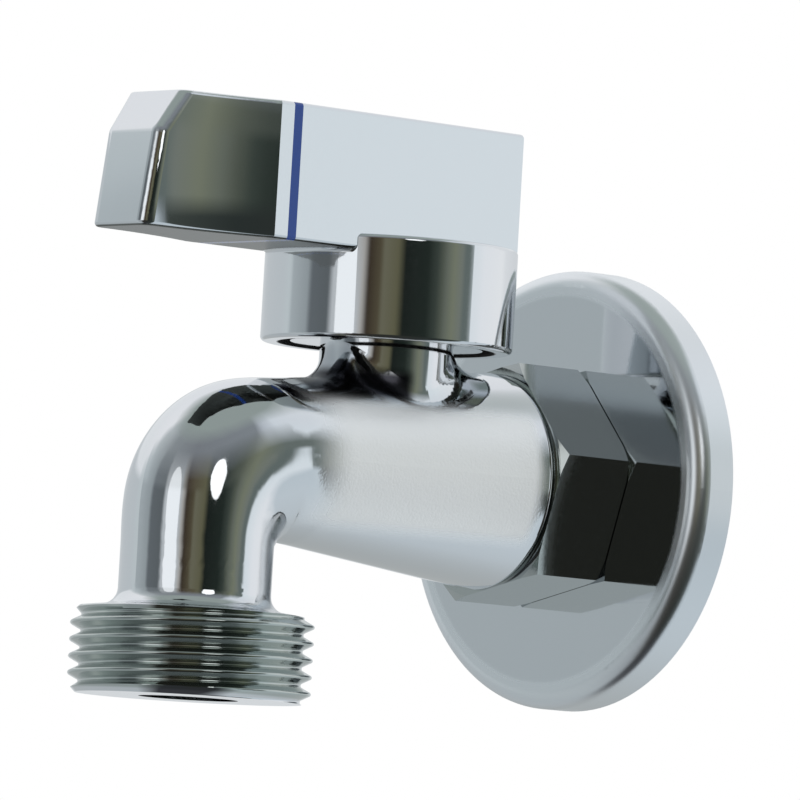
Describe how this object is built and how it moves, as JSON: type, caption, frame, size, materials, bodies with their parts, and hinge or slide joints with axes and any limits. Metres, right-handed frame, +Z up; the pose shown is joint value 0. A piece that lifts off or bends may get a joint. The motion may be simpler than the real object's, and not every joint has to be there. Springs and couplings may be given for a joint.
{
  "type": "washing machine tap",
  "caption": "Chromed wall tap for a washing machine: short cone body with a down-turned threaded hose outlet, wall rosette, and a quarter-turn bar lever that drives a ball valve.",
  "frame": {"origin": "centre of the rosette's rim on the wall plane, on the axis of the inlet thread", "axes": "+Z up, +Y into the wall along the inlet thread, -Y along the tap towards its outlet, X across; symmetric about X = 0 apart from the hexagon's turn and the hidden stops"},
  "size_m": [0.049, 0.0812, 0.065],
  "materials": {
    "chrome_casting": "polished chrome plate on cast brass",
    "chrome_lever": "polished chrome plate on a zinc die casting",
    "chrome_rosette": "polished chrome plate on pressed steel",
    "chrome_nipple": "polished chrome plate on turned brass",
    "chrome_ball": "polished chrome plate on brass",
    "turned_brass": "turned",
    "ptfe": "machined",
    "fibre_seal": "moulded",
    "ring_rubber": "moulded",
    "zinc_plated_steel": "bright zinc plate",
    "cap_plastic": "chrome-coloured plastic",
    "blue_plastic": "gloss"
  },
  "bodies": {
    "tap_body": {"body": "chrome_casting", "inlet_nipple": "chrome_nipple", "nipple_seal": "fibre_seal", "seat_inlet": "ptfe", "seat_outlet": "ptfe", "thrust_washer": "ptfe", "gland_nut": "turned_brass"},
    "lever": {"lever_handle": "chrome_lever", "stem": "turned_brass", "stem_ring_lower": "ring_rubber", "stem_ring_upper": "ring_rubber", "ball": "chrome_ball", "handle_screw": "zinc_plated_steel", "lock_washer": "zinc_plated_steel", "screw_cap": "cap_plastic", "cold_mark_band": "blue_plastic"},
    "rosette": {"rosette": "chrome_rosette"}
  },
  "joints": [
    {"name": "lever_turn", "type": "hinge", "parent": "tap_body", "child": "lever", "pos_m": [0, -0.0303, 0], "axis": [0, 0, 1], "range_deg": [-90, 0]},
    {"name": "rosette_spin", "type": "hinge", "parent": "tap_body", "child": "rosette", "pos_m": [0, 0, 0], "axis": [0, 1, 0], "continuous": true}
  ]
}
